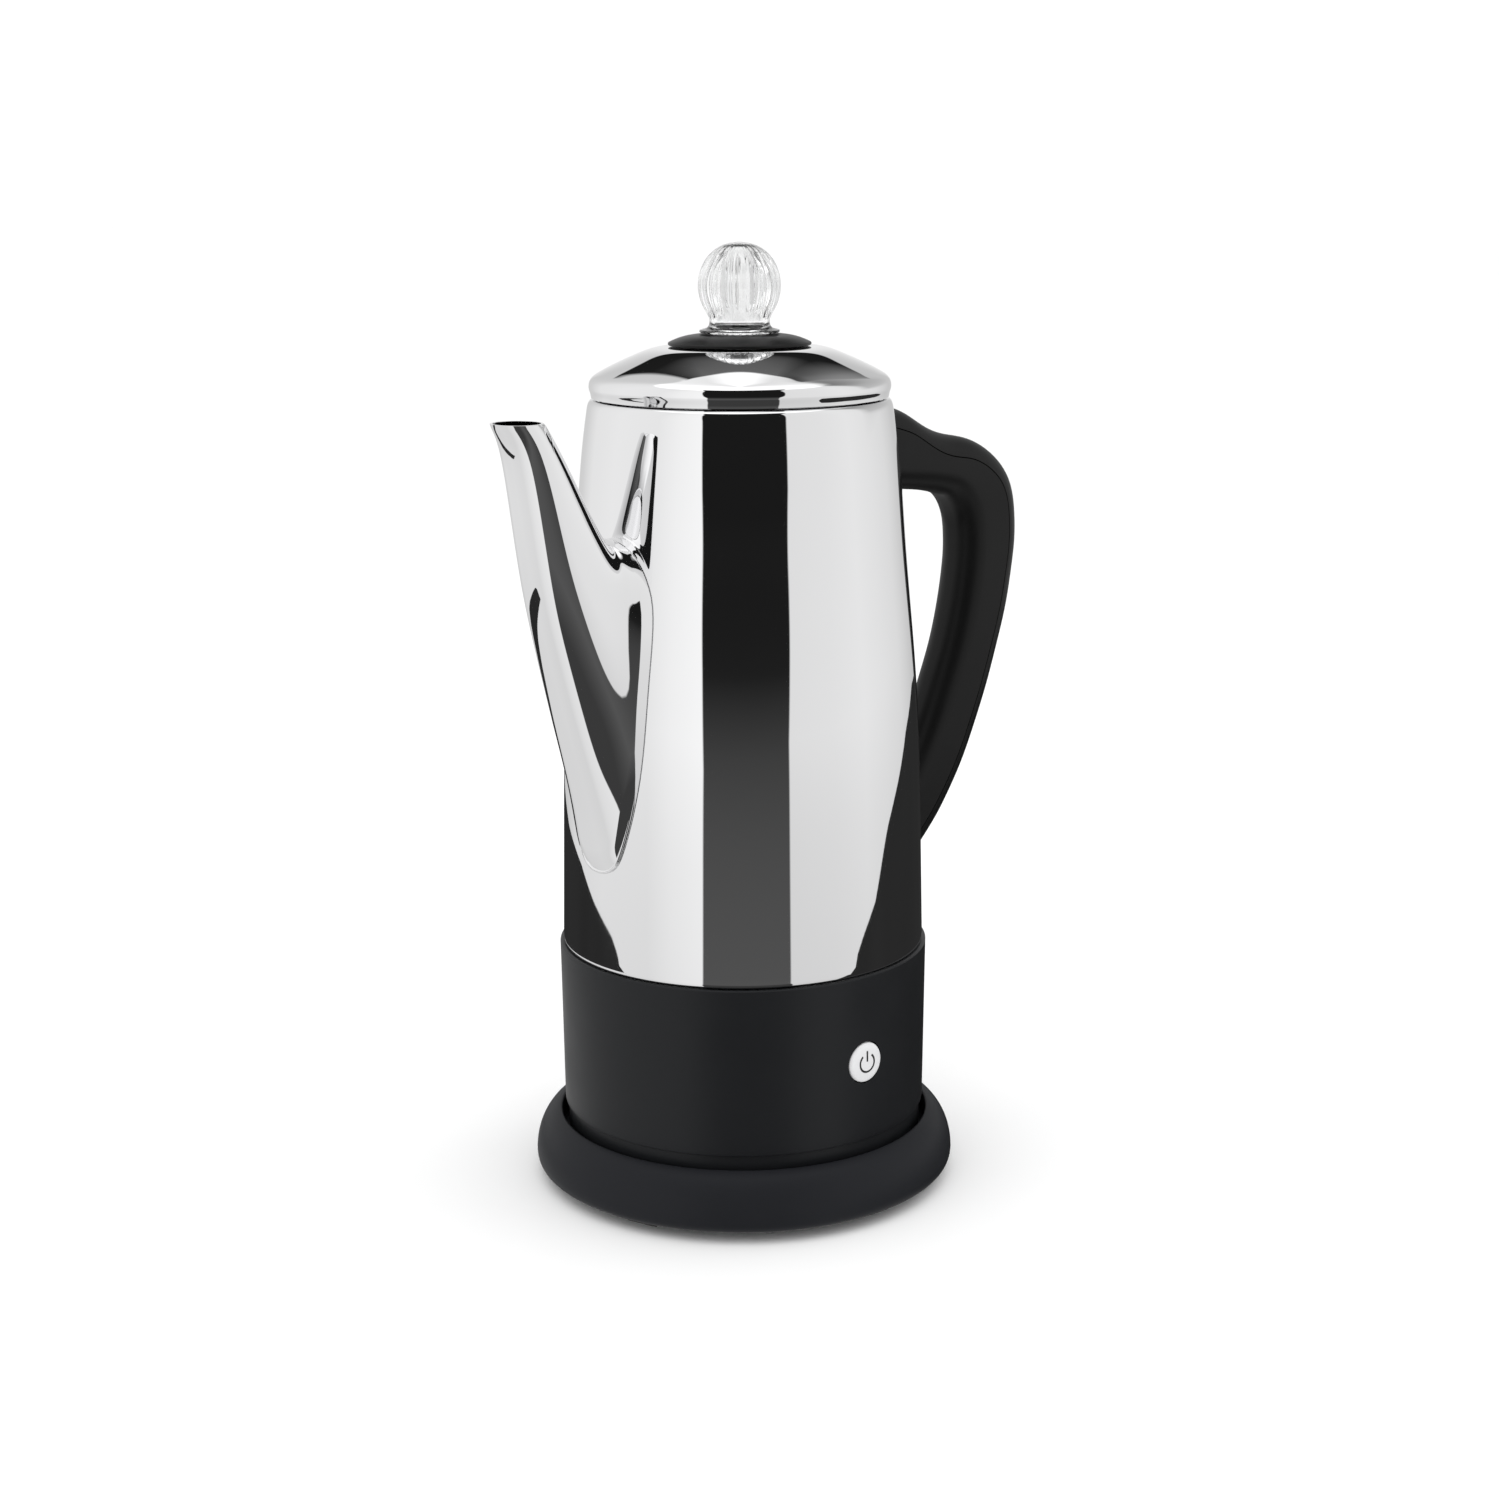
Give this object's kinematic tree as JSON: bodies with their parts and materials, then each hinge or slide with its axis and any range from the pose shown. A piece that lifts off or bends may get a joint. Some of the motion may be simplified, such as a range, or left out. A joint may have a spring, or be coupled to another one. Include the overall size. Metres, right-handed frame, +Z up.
{
  "type": "coffee percolator",
  "caption": "Cordless electric coffee percolator: steel jug with spout, black handle, lid with glass knob, lift-out pump and basket, on a round power base.",
  "frame": {"origin": "centre of the flat middle of the base's underside, on the pot's axis; the feet reach 3 mm below it", "axes": "+Z up along the pot's axis, -X towards the spout, +X towards the handle, -Y towards the power button"},
  "size_m": [0.2392, 0.1568, 0.34],
  "materials": {
    "polished_steel": "mirror-polished stainless steel",
    "shell_plastic": "black satin moulded plastic",
    "handle_plastic": "black satin moulded plastic, fine grain",
    "washer_plastic": "black satin moulded plastic",
    "connector_plastic": "plain black moulded plastic",
    "foot_rubber": "matt black rubber",
    "screw_steel": "plain zinc-plated steel",
    "bare_aluminium": "satin spun aluminium",
    "brass_contact": "plain brass",
    "white_ceramic": "white insulating sleeve and ceramic",
    "red_sleeve": "red silicone sleeve",
    "silver_button": "silver-white satin button",
    "clear_glass": "clear fluted glass"
  },
  "bodies": {
    "base": {"base_housing": "shell_plastic", "base_bottom_plate": "shell_plastic", "base_connector": "connector_plastic", "cord_grommet": "foot_rubber", "foot_1": "foot_rubber", "foot_2": "foot_rubber", "foot_3": "foot_rubber", "foot_4": "foot_rubber", "base_screw_1": "screw_steel", "base_screw_2": "screw_steel", "base_screw_3": "screw_steel"},
    "swivel": {"swivel_collar": "brass_contact"},
    "jug": {"jug_body": "polished_steel", "spout": "polished_steel", "lower_shell": "shell_plastic", "bottom_cover": "shell_plastic", "jug_connector": "connector_plastic", "heating_plate": "bare_aluminium", "heating_element": "screw_steel", "thermostat": "white_ceramic", "thermal_fuse": "brass_contact", "switch_module": "connector_plastic", "lead_line": "red_sleeve", "lead_neutral": "connector_plastic", "lead_earth": "white_ceramic", "cover_screw_1": "screw_steel", "cover_screw_2": "screw_steel", "cover_screw_3": "screw_steel", "handle_grip": "handle_plastic", "handle_cover": "handle_plastic", "handle_top_bracket": "screw_steel", "handle_top_screw": "screw_steel", "handle_bottom_bracket": "screw_steel", "handle_bottom_screw": "screw_steel"},
    "button": {"power_button": "silver_button"},
    "lid": {"lid_shell": "polished_steel", "knob_washer": "washer_plastic", "knob": "clear_glass", "knob_retaining_nut": "connector_plastic"},
    "pump": {"perk_tube": "bare_aluminium", "pump_bell": "bare_aluminium"},
    "valve": {"pump_valve": "screw_steel"},
    "basket": {"coffee_basket": "bare_aluminium"},
    "spreader": {"basket_lid": "bare_aluminium"}
  },
  "joints": [
    {"name": "jug_swivel", "type": "hinge", "parent": "base", "child": "swivel", "pos_m": [0, 0, 0], "axis": [0, 0, 1], "continuous": true},
    {"name": "jug_lift", "type": "slide", "parent": "swivel", "child": "jug", "axis": [0, 0, 1], "range_m": [0, 0.06]},
    {"name": "button_press", "type": "slide", "parent": "jug", "child": "button", "axis": [0, 1, 0], "range_m": [0, 0.0012], "stiffness_N_per_m": 600, "springref_m": -0.002},
    {"name": "lid_lift", "type": "slide", "parent": "jug", "child": "lid", "axis": [0, 0, 1], "range_m": [0, 0.42]},
    {"name": "pump_lift", "type": "slide", "parent": "jug", "child": "pump", "axis": [0, 0, 1], "range_m": [0, 0.24]},
    {"name": "valve_travel", "type": "slide", "parent": "pump", "child": "valve", "axis": [0, 0, 1], "range_m": [0, 0.0015]},
    {"name": "basket_lift", "type": "slide", "parent": "pump", "child": "basket", "axis": [0, 0, 1], "range_m": [0, 0.1]},
    {"name": "spreader_lift", "type": "slide", "parent": "basket", "child": "spreader", "axis": [0, 0, 1], "range_m": [0, 0.03]}
  ],
  "couplings": [
    {"joint": "pump_lift", "follows": "lid_lift", "ratio": 0.56},
    {"joint": "basket_lift", "follows": "lid_lift", "ratio": 0.22},
    {"joint": "spreader_lift", "follows": "lid_lift", "ratio": 0.05}
  ]
}
